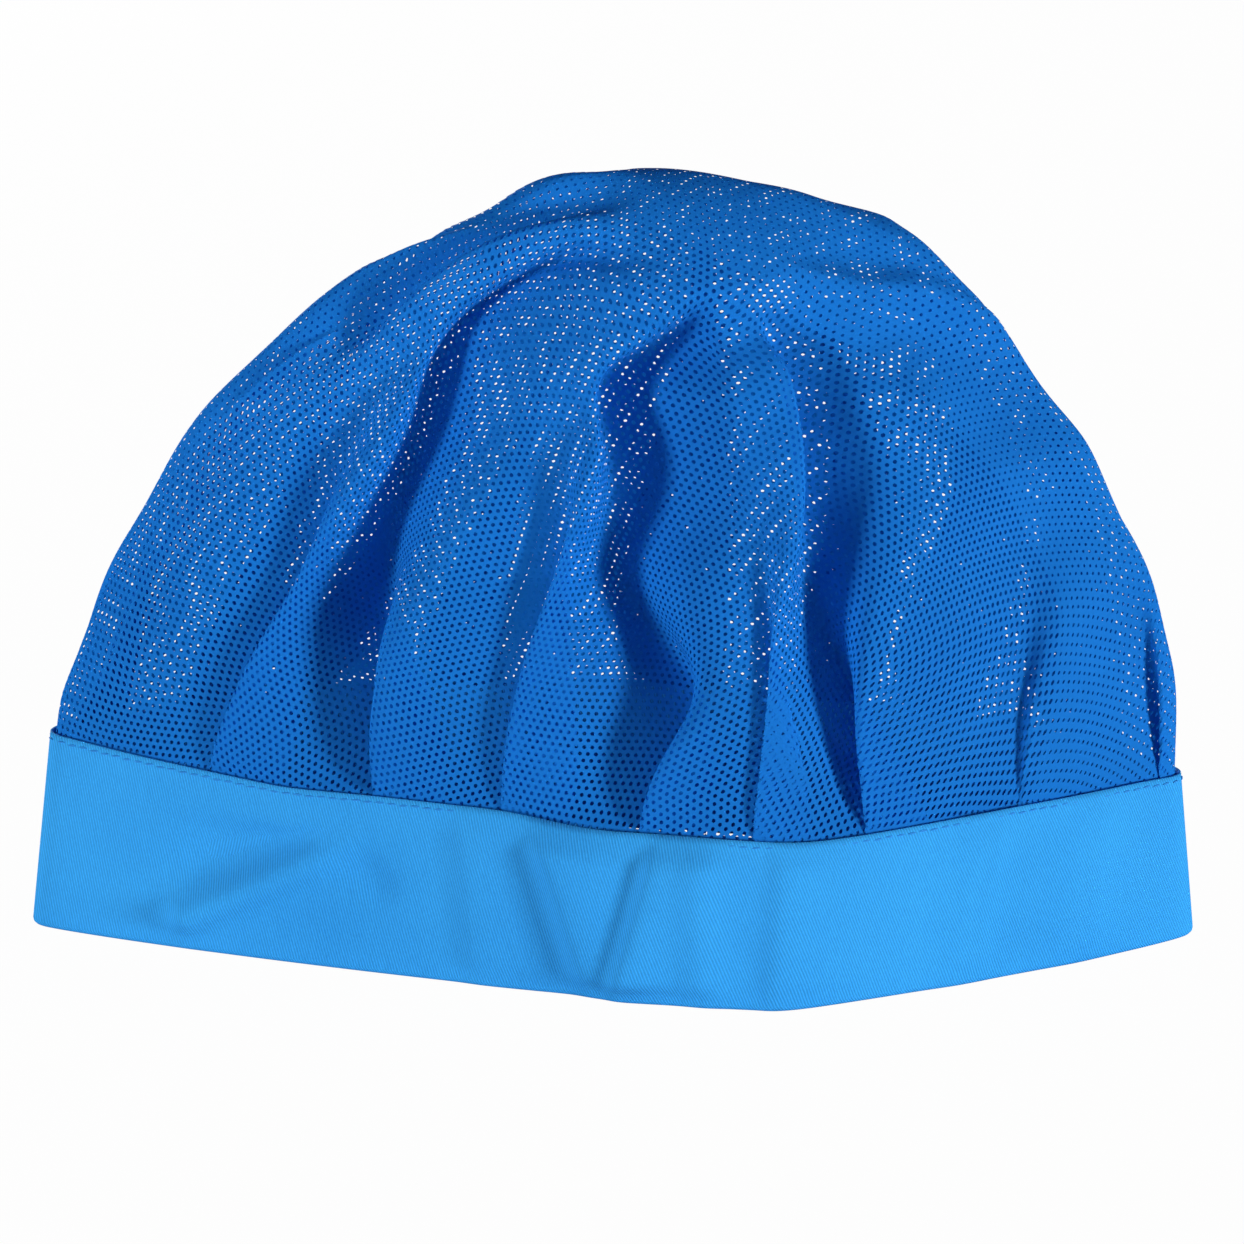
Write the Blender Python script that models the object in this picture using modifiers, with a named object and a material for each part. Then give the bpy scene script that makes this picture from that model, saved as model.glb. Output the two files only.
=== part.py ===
"""Blue mesh work cap: a pleated net crown sewn into a folded twill band, with elastic at the rear.

Metres, +Z up. The front of the cap faces -Y, and the cap stands on the fold of its band.
"""

import cmath
import math

import bmesh
import bpy
import numpy as np
from mathutils import Matrix, Vector

# The standing cap
BAND_WIDTH = 0.252          # left fold to right fold, at the band's lower edge
BAND_DEPTH = 0.112          # front to rear, at the band's lower edge
FRONT_DEPTH = 0.0465        # side folds to the front, so that the rear is the deeper side
BAND_HEIGHT = 0.036
LEFT_RISE = 0.0065          # the band's upper edge stands this much higher at the left fold
BAND_LEAN = 0.004           # how far the band leans in between its lower and upper edge
CROWN_RISE = 0.132          # band's upper edge to the top of the crown

# The band seen from above: nearly straight to a soft bend right of the middle of the front
FRONT_BEND = 0.033          # the front's foremost point stands this far right of the middle
BEND_SOFTNESS = 0.006       # rounding of that bend and of the side folds
FRONT_POWER = 1.15          # 1 is straight from fold to bend, 2 is an ellipse
REAR_POWER = 1.55

# Cloth, elastic and thread
TWILL_THICKNESS = 0.0006
MESH_THICKNESS = 0.0008
ELASTIC_THICKNESS = 0.0008
THREAD_RADIUS = 0.00022
CLEARANCE = 0.0003          # air kept between pieces that are sewn together
SEAM_ALLOWANCE = 0.008      # crown edge held between the two leaves of the band
STITCH_INSET = 0.0011       # topstitching below the band's upper edge

# Crown: leaning dome, and the place where its folds run together
TOP_SHIFT = 0.0022          # the dome's top stands right of the band's middle
CROWN_POWER = 1.80          # 2 is a round side, less is a flatter one
CROWN_POWER_SKEW = 0.16     # rounder on the right, flatter on the left
FOLD_CENTRE = complex(0.15, -0.27)   # in the dome's plan, where its rim has radius 1

# Pleats along the front: places as shares of the way from the left fold to the right one,
# depths as shares of the deepest, and ways up the crown that they reach
FRONT_PLEAT_SHARES = (0.15, 0.29, 0.40, 0.51, 0.60, 0.70, 0.83, 0.95)
FRONT_PLEAT_DEPTH = 0.0170  # the deepest one
FRONT_PLEAT_DEPTH_RATIOS = (0.56, 0.76, 0.44, 1.00, 0.53, 0.88, 0.24, 0.41)
FRONT_PLEAT_REACH_RATIOS = (0.50, 0.80, 0.42, 0.78, 0.50, 0.75, 0.20, 0.30)

# How far each of them wanders to the right, as a share of the front, at some ways up the crown
SWAY_WAYS = (0.0, 0.24, 0.42, 0.62, 0.82)
FRONT_PLEAT_SWAYS = (
    (0.0, 0.028, -0.014, -0.120, -0.090),
    (0.0, -0.035, -0.087, -0.200, -0.115),
    (0.0, 0.012, 0.008, -0.163, -0.070),
    (0.0, -0.019, -0.066, -0.130, -0.025),
    (0.0, 0.027, 0.062, -0.040, 0.040),
    (0.0, -0.017, -0.008, 0.012, 0.126),
    (0.0, -0.012, -0.004, 0.037, 0.120),
    (0.0, 0.008, 0.012, 0.020, 0.080),
)
REAR_PLEATS = 8
REAR_PLEAT_DEPTH = 0.010
REAR_PLEAT_REACH_RATIO = 0.60
NARROW_SPACE = 0.020        # folds get shallower where the cap is less deep than this
VALLEY_RATIO = 0.40         # part of the way to the next pleat over which the cloth comes out of a fold
OPENING_RATIO = 0.075       # way up the crown over which the folds open
CLOSING_RATIO = 0.15        # way above its reach at which a fold has died out
CLOSING_POWER = 3

# Where points lie round each pleat and beside a side fold, and up the crown from the band
PLEAT_STEPS = (0.0, 0.14, 0.34, 0.64, 0.84)
SIDE_FOLD_STEPS = (-1.4, -0.45, 0.45, 1.4)   # in units of the bend softness
CROWN_STEPS = (0.0, 0.09, 0.24, 0.42, 0.62, 0.82, 1.0)

# Rear elastic and the gathers that it draws into the band
ELASTIC_LENGTH = 0.130
ELASTIC_HEIGHT = 0.020
GATHERS = 9
GATHER_DEPTH = 0.0016
GATHER_STEPS = 4
TACK_WIDTH = 0.0018
TACK_THICKNESS = 0.0007

# Values that follow from those above
SLOT = max(MESH_THICKNESS, ELASTIC_THICKNESS) + 2 * CLEARANCE
LEAF_OFFSET = (SLOT + TWILL_THICKNESS) / 2
FOLD_CORNER = LEAF_OFFSET / 2
HALF_WIDTH = BAND_WIDTH / 2 - LEAF_OFFSET - TWILL_THICKNESS / 2
MIDDLE_DEPTH_FRONT = FRONT_DEPTH - LEAF_OFFSET - TWILL_THICKNESS / 2
MIDDLE_DEPTH_REAR = BAND_DEPTH - FRONT_DEPTH - LEAF_OFFSET - TWILL_THICKNESS / 2 - GATHER_DEPTH
SIDE_FOLD_Y = FRONT_DEPTH - BAND_DEPTH / 2
ELASTIC_MIDDLE = (TWILL_THICKNESS + BAND_HEIGHT - SEAM_ALLOWANCE) / 2
TABLE_POINTS = 4000
SMALL = 1e-4


def lengths_along(x, y):
    """Return the length of a closed line up to each of its points, and once round."""
    steps = np.hypot(np.diff(np.append(x, x[0])), np.diff(np.append(y, y[0])))
    return np.concatenate(([0.0], np.cumsum(steps)))


def soften(values, reach):
    """Return values round a closed line, each averaged with its neighbours within a few times the reach."""
    span = int(4 * reach)
    weights = np.exp(-0.5 * (np.arange(-span, span + 1) / reach) ** 2)
    wrapped = np.concatenate((values[-span:], values, values[:span]))
    return np.convolve(wrapped, weights / weights.sum(), "valid")


def plan_outline():
    """Return the band's middle line from above, from the left fold by the front, with reach 1 each way."""
    angles = np.linspace(math.pi, 3 * math.pi, TABLE_POINTS, endpoint=False)
    rear = np.sin(angles) > 0
    power = 2 / np.where(rear, REAR_POWER, FRONT_POWER)
    bend = np.where(rear, 0.0, FRONT_BEND)
    reach = HALF_WIDTH - bend * np.sign(np.cos(angles))
    x = bend + reach * np.sign(np.cos(angles)) * np.abs(np.cos(angles)) ** power
    y = np.where(rear, MIDDLE_DEPTH_REAR, MIDDLE_DEPTH_FRONT) * np.sign(np.sin(angles))
    y *= np.abs(np.sin(angles)) ** power
    lengths = lengths_along(x, y)
    even = np.linspace(0, lengths[-1], TABLE_POINTS, endpoint=False)
    reach = BEND_SOFTNESS * TABLE_POINTS / lengths[-1]
    x = soften(np.interp(even, lengths, np.append(x, x[0])), reach)
    y = soften(np.interp(even, lengths, np.append(y, y[0])), reach)
    x = 2 * (x - x.min()) / np.ptp(x) - 1
    y = np.where(y > 0, y / y.max(), -y / y.min())
    start = int(np.argmin(x))
    return np.roll(x, -start), np.roll(y, -start)


PLAN_X, PLAN_Y = plan_outline()
RIM_LENGTHS = lengths_along(
    PLAN_X * (HALF_WIDTH - BAND_LEAN),
    PLAN_Y * (np.where(PLAN_Y > 0, MIDDLE_DEPTH_REAR, MIDDLE_DEPTH_FRONT) - BAND_LEAN),
)
RIM_LENGTH = RIM_LENGTHS[-1]
RIM_SHARES = RIM_LENGTHS / RIM_LENGTH
FRONT_SHARE = RIM_SHARES[int(np.argmax(PLAN_X))]
REAR_MIDDLE = (1 + FRONT_SHARE) / 2


def upper_edge(share):
    """Return the height of the band's upper edge at a share of the rim."""
    x = np.interp(share % 1, RIM_SHARES, np.append(PLAN_X, PLAN_X[0]))
    return BAND_HEIGHT + LEFT_RISE * max(0.0, -x)


def plan_point(share, height):
    """Return the band's middle line at a share of the rim, counted from the left fold by the front."""
    lean = BAND_LEAN * height / BAND_HEIGHT
    x = np.interp(share % 1, RIM_SHARES, np.append(PLAN_X, PLAN_X[0]))
    y = np.interp(share % 1, RIM_SHARES, np.append(PLAN_Y, PLAN_Y[0]))
    depth = MIDDLE_DEPTH_REAR if y > 0 else MIDDLE_DEPTH_FRONT
    return Vector((x * (HALF_WIDTH - lean), SIDE_FOLD_Y + y * (depth - lean), height))


def plan_normal(share):
    """Return the level direction that points out of the band at a share of the rim."""
    along = plan_point(share + SMALL, 0) - plan_point(share - SMALL, 0)
    return Vector((along.y, -along.x, 0)).normalized()


def pleat_list():
    """Return each pleat's share of the whole rim, depth, reach and sways, once round from the left."""
    pleats = []
    front = zip(FRONT_PLEAT_SHARES, FRONT_PLEAT_DEPTH_RATIOS, FRONT_PLEAT_REACH_RATIOS, FRONT_PLEAT_SWAYS)
    for share, ratio, reach, sways in front:
        pleats.append((share * FRONT_SHARE, ratio * FRONT_PLEAT_DEPTH, reach, sways))
    for index in range(REAR_PLEATS):
        share = FRONT_SHARE + (1 - FRONT_SHARE) * (index + 0.6) / REAR_PLEATS
        pleats.append((share, REAR_PLEAT_DEPTH, REAR_PLEAT_REACH_RATIO, (0.0,) * len(SWAY_WAYS)))
    return pleats


PLEATS = pleat_list()


def pleat_share(index, way):
    """Return a pleat's share of the rim at a way up the crown; the numbers run on after one turn."""
    share, _, _, sways = PLEATS[index % len(PLEATS)]
    return share + np.interp(way, SWAY_WAYS, sways) * FRONT_SHARE + index // len(PLEATS)


def pleat_depth(index, way):
    """Return how deep a pleat's fold is at a way up the crown."""
    _, depth, reach, _ = PLEATS[index % len(PLEATS)]
    opening = 1 - math.exp(-way / OPENING_RATIO)
    closing = 1 - min(1, way / (reach + CLOSING_RATIO)) ** CLOSING_POWER
    return depth * opening * closing


def dome_point(spot):
    """Return the smooth dome's point over a spot of its plan, where the rim has radius 1."""
    share = (cmath.phase(spot) / (2 * math.pi) + 0.5) % 1
    rise = (1 - min(abs(spot), 1)) * math.pi / 2
    power = CROWN_POWER - CROWN_POWER_SKEW * math.cos(2 * math.pi * share)
    shrink = math.cos(rise) ** (2 / power)
    lift = math.sin(rise) ** (2 / power)
    foot = plan_point(share, upper_edge(share))
    low = foot.z + MESH_THICKNESS
    top = BAND_HEIGHT + CROWN_RISE
    x = foot.x * shrink + TOP_SHIFT * lift
    y = SIDE_FOLD_Y * (1 - lift) + (foot.y - SIDE_FOLD_Y) * shrink
    return Vector((x, y, low + (top - low) * lift))


def crown_base(share, way):
    """Return the unfolded crown's point, a share of the way up from the rim to the fold centre."""
    rim = cmath.rect(1, math.pi * (1 + 2 * share))
    return dome_point((1 - way) * rim + way ** 2 * FOLD_CENTRE)


def valley(distance):
    """Return the part of a fold's depth that is left at a part of the way to the next fold."""
    return 0.5 + 0.5 * math.cos(math.pi * min(1, distance / VALLEY_RATIO))


def crown_point(index, step, way):
    """Return the folded crown's point at one step from a pleat to the next and one way up."""
    share = pleat_share(index, way) + step * (pleat_share(index + 1, way) - pleat_share(index, way))
    space = abs(plan_point(share, BAND_HEIGHT).y - SIDE_FOLD_Y)
    room = 1 - math.exp(-(space / NARROW_SPACE) ** 2)
    sunk = pleat_depth(index, way) * valley(step) + pleat_depth(index + 1, way) * valley(1 - step)
    low = min(way, 1 - 2 * SMALL)
    along = crown_base(share + SMALL, low) - crown_base(share - SMALL, low)
    upward = crown_base(share, low + SMALL) - crown_base(share, low)
    return crown_base(share, way) - along.cross(upward).normalized() * sunk * room


def wrapped_grid(columns, rows, place, closed):
    """Return a bmesh grid whose corners are moved to place(column, row), closed into a ring or open."""
    mesh = bmesh.new()
    across = columns + 1 if closed else columns
    bmesh.ops.create_grid(mesh, x_segments=across - 1, y_segments=rows - 1, size=0.5)
    for vert in mesh.verts:
        column = round((vert.co.x + 0.5) * (across - 1))
        row = round((vert.co.y + 0.5) * (rows - 1))
        vert.co = place(column % columns, row)
    bmesh.ops.remove_doubles(mesh, verts=mesh.verts, dist=SMALL / 10)
    bmesh.ops.recalc_face_normals(mesh, faces=mesh.faces)
    return mesh


def cloth_material(name, colour, roughness):
    """Return a plain material of one colour."""
    material = bpy.data.materials.new(name)
    material.use_nodes = True
    shader = material.node_tree.nodes["Principled BSDF"]
    shader.inputs["Base Color"].default_value = (*colour, 1)
    shader.inputs["Roughness"].default_value = roughness
    return material


def add_object(name, data, material, collection):
    """Put mesh or curve data into the collection as a named object."""
    data.materials.append(material)
    item = bpy.data.objects.new(name, data)
    collection.objects.link(item)
    return item


def add_cloth(name, mesh, thickness, material, collection, even=True):
    """Turn an open bmesh surface into a cloth object; an even thickness suits cloth without tight folds."""
    data = bpy.data.meshes.new(name)
    mesh.to_mesh(data)
    mesh.free()
    item = add_object(name, data, material, collection)
    solidify = item.modifiers.new("thickness", "SOLIDIFY")
    solidify.thickness = thickness
    solidify.offset = 0
    solidify.use_even_offset = even
    return item


def gather_range():
    """Return the shares of the rim where the rear elastic starts and ends."""
    half = ELASTIC_LENGTH / RIM_LENGTH / 2
    return REAR_MIDDLE - half, REAR_MIDDLE + half


def gather_wave(share):
    """Return how far the gathers push the band's leaves apart at a share of the rim."""
    start, end = gather_range()
    if not start < share % 1 < end:
        return 0.0
    way = (share % 1 - start) / (end - start)
    return GATHER_DEPTH * (0.5 - 0.5 * math.cos(2 * math.pi * GATHERS * way))


def pleat_steps(index):
    """Return the steps at which one pleat is drawn, set closer where the pleat holds a side fold."""
    start, end = pleat_share(index, 0), pleat_share(index + 1, 0)
    fold = FRONT_SHARE if start < FRONT_SHARE else 1
    near = [(fold + reach * BEND_SOFTNESS / RIM_LENGTH - start) / (end - start) for reach in SIDE_FOLD_STEPS]
    if not 0 < near[0] < near[-1] < 1:
        return PLEAT_STEPS
    return [0.0] + near + [step for step in PLEAT_STEPS if step > near[-1] + near[0] / 2]


def crown_columns():
    """Return the pleat and the step of each column of points round the crown."""
    return [(index, step) for index in range(len(PLEATS)) for step in pleat_steps(index)]


def column_share(index, step):
    """Return the share of the rim at which a column of the crown stands."""
    return pleat_share(index, 0) + step * (pleat_share(index + 1, 0) - pleat_share(index, 0))


def gather_columns():
    """Return the shares of the rim at which the gathers are drawn."""
    start, end = gather_range()
    return list(np.linspace(start, end, GATHERS * GATHER_STEPS + 1))


def band_columns():
    """Return the shares of the rim at which the band is drawn, once round."""
    start, end = gather_range()
    spacing = (end - start) / GATHERS / 2
    shares = [column_share(index, step) % 1 for index, step in crown_columns()]
    plain = [share for share in shares if not start - spacing < share < end + spacing]
    return sorted(plain + gather_columns())


def make_crown(collection):
    """Make the pleated net crown, with its edge down between the leaves of the band."""
    columns = crown_columns()

    def place(column, row):
        index, step = columns[column]
        if row == 0:
            share = column_share(index, step)
            return plan_point(share, upper_edge(share) - SEAM_ALLOWANCE)
        return crown_point(index, step, CROWN_STEPS[row - 1])

    mesh = wrapped_grid(len(columns), len(CROWN_STEPS) + 1, place, closed=True)
    material = cloth_material("blue_net", (0.018, 0.17, 0.58), 0.85)
    add_cloth("crown_mesh", mesh, MESH_THICKNESS, material, collection, even=False)


def make_band(collection, material):
    """Make the band: one strip folded up into two leaves, open at the top for the crown."""
    shares = band_columns()
    middle = TWILL_THICKNESS / 2
    toe = LEAF_OFFSET - FOLD_CORNER
    bend = middle + FOLD_CORNER
    section = ((-LEAF_OFFSET, None), (-LEAF_OFFSET, bend), (-toe, middle))
    section += tuple((-offset, height) for offset, height in reversed(section))

    def place(column, row):
        share = shares[column]
        offset, height = section[row]
        offset += math.copysign(gather_wave(share), offset)
        level = upper_edge(share) if height is None else height
        return plan_point(share, level) + plan_normal(share) * offset

    mesh = wrapped_grid(len(shares), len(section), place, closed=True)
    add_cloth("band_strip", mesh, TWILL_THICKNESS, material, collection)


def make_elastic(collection):
    """Make the flat elastic between the leaves at the rear of the band."""
    shares = gather_columns()
    heights = (ELASTIC_MIDDLE - ELASTIC_HEIGHT / 2, ELASTIC_MIDDLE + ELASTIC_HEIGHT / 2)

    def place(column, row):
        return plan_point(shares[column], heights[row])

    mesh = wrapped_grid(len(shares), len(heights), place, closed=False)
    material = cloth_material("white_elastic", (0.75, 0.76, 0.78), 0.7)
    add_cloth("rear_elastic", mesh, ELASTIC_THICKNESS, material, collection)


def make_topstitch(collection, material):
    """Make the row of stitching that runs round the outside, under the band's upper edge."""
    offset = LEAF_OFFSET + TWILL_THICKNESS / 2 + CLEARANCE + THREAD_RADIUS
    curve = bpy.data.curves.new("topstitch_thread", "CURVE")
    curve.dimensions = "3D"
    curve.bevel_depth = THREAD_RADIUS
    curve.bevel_resolution = 0
    shares = band_columns()
    spline = curve.splines.new("POLY")
    spline.points.add(len(shares) - 1)
    spline.use_cyclic_u = True
    for point, share in zip(spline.points, shares):
        out = plan_normal(share) * (offset + gather_wave(share))
        point.co = (*(plan_point(share, upper_edge(share) - STITCH_INSET) + out), 1)
    add_object("topstitch_thread", curve, material, collection)


def make_tack(name, share, collection, material):
    """Make the bar of close stitches that holds one end of the elastic."""
    offset = LEAF_OFFSET + TWILL_THICKNESS / 2 + CLEARANCE + TACK_THICKNESS / 2
    up = (plan_point(share, BAND_HEIGHT) - plan_point(share, 0)).normalized()
    side = up.cross(plan_normal(share)).normalized()
    out = side.cross(up)
    mesh = bmesh.new()
    bmesh.ops.create_cube(mesh, size=1)
    bmesh.ops.scale(mesh, vec=(TACK_WIDTH, TACK_THICKNESS, ELASTIC_HEIGHT), verts=mesh.verts)
    data = bpy.data.meshes.new(name)
    mesh.to_mesh(data)
    mesh.free()
    item = add_object(name, data, material, collection)
    axes = Matrix((side, out, up)).transposed().to_4x4()
    item.matrix_world = Matrix.Translation(plan_point(share, ELASTIC_MIDDLE) + out * offset) @ axes
    bevel = item.modifiers.new("rounded", "BEVEL")
    bevel.width = TACK_THICKNESS / 3
    bevel.segments = 1


def main():
    """Clear the scene and make the cap."""
    for item in list(bpy.data.objects):
        bpy.data.objects.remove(item, do_unlink=True)
    collection = bpy.data.collections.new("mesh_cap")
    bpy.context.scene.collection.children.link(collection)
    twill = cloth_material("blue_twill", (0.032, 0.29, 0.75), 0.8)
    thread = cloth_material("blue_thread", (0.025, 0.24, 0.68), 0.6)
    make_crown(collection)
    make_band(collection, twill)
    make_elastic(collection)
    make_topstitch(collection, thread)
    start, end = gather_range()
    make_tack("elastic_tack_right", start, collection, thread)
    make_tack("elastic_tack_left", end, collection, thread)
    print(f"band length round the head {RIM_LENGTH * 1000:.0f} mm, {len(PLEATS)} pleats")


main()
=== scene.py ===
# %% [markdown]
# # A blue mesh work cap
# The cap is a round piece of knitted net, laid in knife pleats and sewn into a folded twill band. This
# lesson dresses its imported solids: it reads them as a fixed frame, and then makes the cloth in detail.
# The solids could be shown as they are, with a blue material, but cloth is known by its folds, its holes
# and its stitches. The cap has no joints, so every piece rides on the one body that the frame has.

import math

import bmesh
import bpy
import numpy as np
from mathutils import Matrix, Vector


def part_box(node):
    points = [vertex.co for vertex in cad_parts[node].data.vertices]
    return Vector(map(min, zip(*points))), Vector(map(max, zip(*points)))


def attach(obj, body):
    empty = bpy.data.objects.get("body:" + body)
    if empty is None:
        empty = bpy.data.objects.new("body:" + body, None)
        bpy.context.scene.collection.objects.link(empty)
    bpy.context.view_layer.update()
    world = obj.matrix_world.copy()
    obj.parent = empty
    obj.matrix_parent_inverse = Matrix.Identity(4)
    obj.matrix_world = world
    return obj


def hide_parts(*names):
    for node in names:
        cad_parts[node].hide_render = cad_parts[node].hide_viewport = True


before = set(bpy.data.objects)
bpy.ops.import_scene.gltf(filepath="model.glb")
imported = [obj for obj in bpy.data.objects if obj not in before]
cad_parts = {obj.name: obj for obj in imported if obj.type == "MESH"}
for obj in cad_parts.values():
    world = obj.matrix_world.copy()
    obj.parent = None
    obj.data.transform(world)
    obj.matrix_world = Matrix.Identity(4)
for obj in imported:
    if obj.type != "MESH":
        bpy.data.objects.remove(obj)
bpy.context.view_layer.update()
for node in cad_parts:
    node_low, node_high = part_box(node)
    print(node, "measures", [round(1000 * side, 1) for side in node_high - node_low], "mm each way")

# %% [markdown]
# ## The camera
# The photograph looks at the cap from a little above, with a long lens. The camera comes first, because
# the folds are placed by where they show in the picture. A lens of this length hardly narrows the far side
# of the cap. The small roll takes up the slant of the picture. Blender has a helper that finds a point's
# place in the picture, but a few lines of numpy do it for thousands of points at once.

# %% Camera
PICTURE_SIZE = 1244
SENSOR_WIDTH = 36.0
CAMERA_LENS = 163.7
CAMERA_PLACE = Vector((0.0, -1.1508, 0.4558))
CAMERA_AIM = Vector((0.0014, -0.0095, 0.0702))
CAMERA_ROLL = 0.0086

camera_data = bpy.data.cameras.new("picture_camera")
camera_data.lens = CAMERA_LENS
camera_data.sensor_width = SENSOR_WIDTH
camera = bpy.data.objects.new("picture_camera", camera_data)
bpy.context.scene.collection.objects.link(camera)
bpy.context.scene.camera = camera
camera_turn = (CAMERA_AIM - CAMERA_PLACE).to_track_quat("-Z", "Y").to_matrix()
camera_turn = camera_turn @ Matrix.Rotation(CAMERA_ROLL, 3, "Z")
camera.matrix_world = Matrix.Translation(CAMERA_PLACE) @ camera_turn.to_4x4()
CAMERA_AXES = np.array(camera_turn)
FOCAL_PIXELS = CAMERA_LENS / SENSOR_WIDTH * PICTURE_SIZE


def in_picture(points):
    """Return where points show in the picture, in its pixels from the upper left."""
    seen = (points - np.array(CAMERA_PLACE)) @ CAMERA_AXES
    across = PICTURE_SIZE / 2 - FOCAL_PIXELS * seen[..., 0] / seen[..., 2]
    down = PICTURE_SIZE / 2 + FOCAL_PIXELS * seen[..., 1] / seen[..., 2]
    return np.stack((across, down), axis=-1)


camera_distance = (CAMERA_AIM - CAMERA_PLACE).length
print("one millimetre is", round(FOCAL_PIXELS / camera_distance / 1000, 2), "pixels wide in the picture")

# %% [markdown]
# ## The band seen from above
# The cap stands half flattened: two side folds, a soft bend in the front and a rounder rear. Two halves of
# a superellipse give that outline. It is made even in length and then softened, and kept as a table, so
# that any share of the way round can be looked up. Shares count from the left fold, by the front. A curve
# object with a few handles could give the same line, but a formula is easier to set from measured sizes.

# %% Plan of the band
TWILL_THICKNESS = 0.0006
LEAF_OFFSET = 0.0010         # from the middle of the band to the middle of each leaf
BAND_WIDTH = 0.252
BAND_DEPTH = 0.112
FRONT_DEPTH = 0.0465         # from the side folds to the front
GATHER_DEPTH = 0.0016
FRONT_BEND = 0.033           # how far right of the middle the front bends
BEND_SOFTNESS = 0.0045
SIDE_SOFTNESS = 0.0022
SIDE_REACH = 0.014           # how far in from a side fold the outline keeps that fold's softness
FRONT_POWER = 1.15           # a superellipse of power 1 is a straight wedge, and one of power 2 is round
REAR_POWER = 1.55
BAND_HEIGHT = 0.036
LEFT_RISE = 0.0065           # how much higher the band is at the left fold
BAND_LEAN = 0.004            # how far the band leans in at its upper edge
PLAN_POINTS = 4000

WALL = LEAF_OFFSET + TWILL_THICKNESS / 2
HALF_WIDTH = BAND_WIDTH / 2 - WALL
DEPTH_FRONT = FRONT_DEPTH - WALL
DEPTH_REAR = BAND_DEPTH - FRONT_DEPTH - WALL - GATHER_DEPTH
SIDE_FOLD_Y = FRONT_DEPTH - BAND_DEPTH / 2


def lengths_along(x, y):
    """Return the length of a closed line up to each of its points, and once round."""
    steps = np.hypot(np.diff(np.append(x, x[0])), np.diff(np.append(y, y[0])))
    return np.concatenate(([0.0], np.cumsum(steps)))


def soft_weights(reach, span):
    """Return the weights of a soft average over a span of points on each side."""
    weights = np.exp(-0.5 * (np.arange(-span, span + 1) / reach) ** 2)
    return weights / weights.sum()


def soften_ring(values, reach):
    """Average values round a closed line with their neighbours; the reach is counted in points."""
    span = int(4 * reach)
    wrapped = np.concatenate((values[-span:], values, values[:span]))
    return np.convolve(wrapped, soft_weights(reach, span), "valid")


def plan_outline():
    """Return the band's middle line from above, from the left fold by the front, with reach 1 each way."""
    angles = np.linspace(math.pi, 3 * math.pi, PLAN_POINTS, endpoint=False)
    rear = np.sin(angles) > 0
    power = 2 / np.where(rear, REAR_POWER, FRONT_POWER)
    bend = np.where(rear, 0.0, FRONT_BEND)
    side = np.sign(np.cos(angles))
    x = bend + (HALF_WIDTH - bend * side) * side * np.abs(np.cos(angles)) ** power
    y = np.where(rear, DEPTH_REAR, -DEPTH_FRONT) * np.abs(np.sin(angles)) ** power
    lengths = lengths_along(x, y)
    even = np.linspace(0, lengths[-1], PLAN_POINTS, endpoint=False)
    x = np.interp(even, lengths, np.append(x, x[0]))
    y = np.interp(even, lengths, np.append(y, y[0]))
    near_fold = np.exp(-0.5 * ((np.abs(x) - HALF_WIDTH) / SIDE_REACH) ** 2)
    per_metre = PLAN_POINTS / lengths[-1]
    soft, sharp = BEND_SOFTNESS * per_metre, SIDE_SOFTNESS * per_metre
    x = near_fold * soften_ring(x, sharp) + (1 - near_fold) * soften_ring(x, soft)
    y = near_fold * soften_ring(y, sharp) + (1 - near_fold) * soften_ring(y, soft)
    x = 2 * (x - x.min()) / np.ptp(x) - 1
    y = np.where(y > 0, y / y.max(), -y / y.min())
    start = int(np.argmin(x))
    return np.roll(x, -start), np.roll(y, -start)


PLAN_X, PLAN_Y = plan_outline()
plan_depth = np.where(PLAN_Y > 0, DEPTH_REAR, DEPTH_FRONT) - BAND_LEAN
rim_lengths = lengths_along(PLAN_X * (HALF_WIDTH - BAND_LEAN), PLAN_Y * plan_depth)
RIM_LENGTH = rim_lengths[-1]
RIM_SHARES = rim_lengths / RIM_LENGTH
FRONT_SHARE = RIM_SHARES[int(np.argmax(PLAN_X))]
REAR_MIDDLE = (1 + FRONT_SHARE) / 2


def plan_xy(share):
    """Return the plan's x and y, from -1 to 1, at shares of the way round."""
    x = np.interp(share % 1, RIM_SHARES, np.append(PLAN_X, PLAN_X[0]))
    y = np.interp(share % 1, RIM_SHARES, np.append(PLAN_Y, PLAN_Y[0]))
    return x, y


def plan_point(share, height):
    """Return points of the band's middle line at shares of the way round and at heights."""
    x, y = plan_xy(share)
    lean = BAND_LEAN * height / BAND_HEIGHT
    depth = np.where(y > 0, DEPTH_REAR, DEPTH_FRONT) - lean
    return np.stack(np.broadcast_arrays(x * (HALF_WIDTH - lean), SIDE_FOLD_Y + y * depth, height), axis=-1)


def plan_normal(share):
    """Return the level directions that point out of the band."""
    step = 2e-4
    along = plan_point(share + step, 0.0 * share) - plan_point(share - step, 0.0 * share)
    out = np.stack((along[..., 1], -along[..., 0], 0 * along[..., 0]), axis=-1)
    return out / np.linalg.norm(out, axis=-1, keepdims=True)


print("band", round(RIM_LENGTH * 1000), "mm round, right side fold at share", round(FRONT_SHARE, 3))

# %% [markdown]
# ## The band's upper edge
# A sewn edge is never quite level: the pleats' thickness pushes it up and down by a millimetre or two.
# The edge is read off the picture at a few places, and the difference from a level edge is turned into
# millimetres. At the rear, where nothing shows, a slow wave stands in.

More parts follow.
